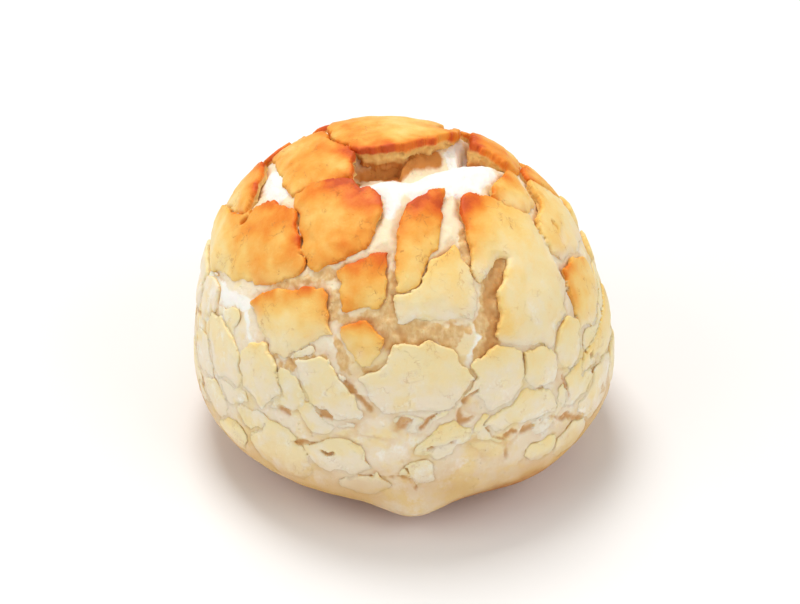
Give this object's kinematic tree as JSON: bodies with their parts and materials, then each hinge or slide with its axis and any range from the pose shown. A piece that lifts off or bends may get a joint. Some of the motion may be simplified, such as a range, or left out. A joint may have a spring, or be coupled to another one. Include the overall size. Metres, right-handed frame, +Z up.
{
  "type": "tiger roll",
  "caption": "Round, high-domed crusty bread roll with a mottled crust of torn plates over pale dough, on a flat baked base.",
  "frame": {"origin": "middle of the flat base, on the surface that the roll rests on", "axes": "+Z up through the crown, -Y towards the front with the widest tears, +X to the right of someone who faces the front"},
  "size_m": [0.0968, 0.0962, 0.072],
  "materials": {
    "baked_crust": "matt baked paste crust, cream low on the sides and golden to orange-brown towards the crown, over pale floury dough"
  },
  "bodies": {
    "root": {"roll": "baked_crust"}
  },
  "joints": []
}
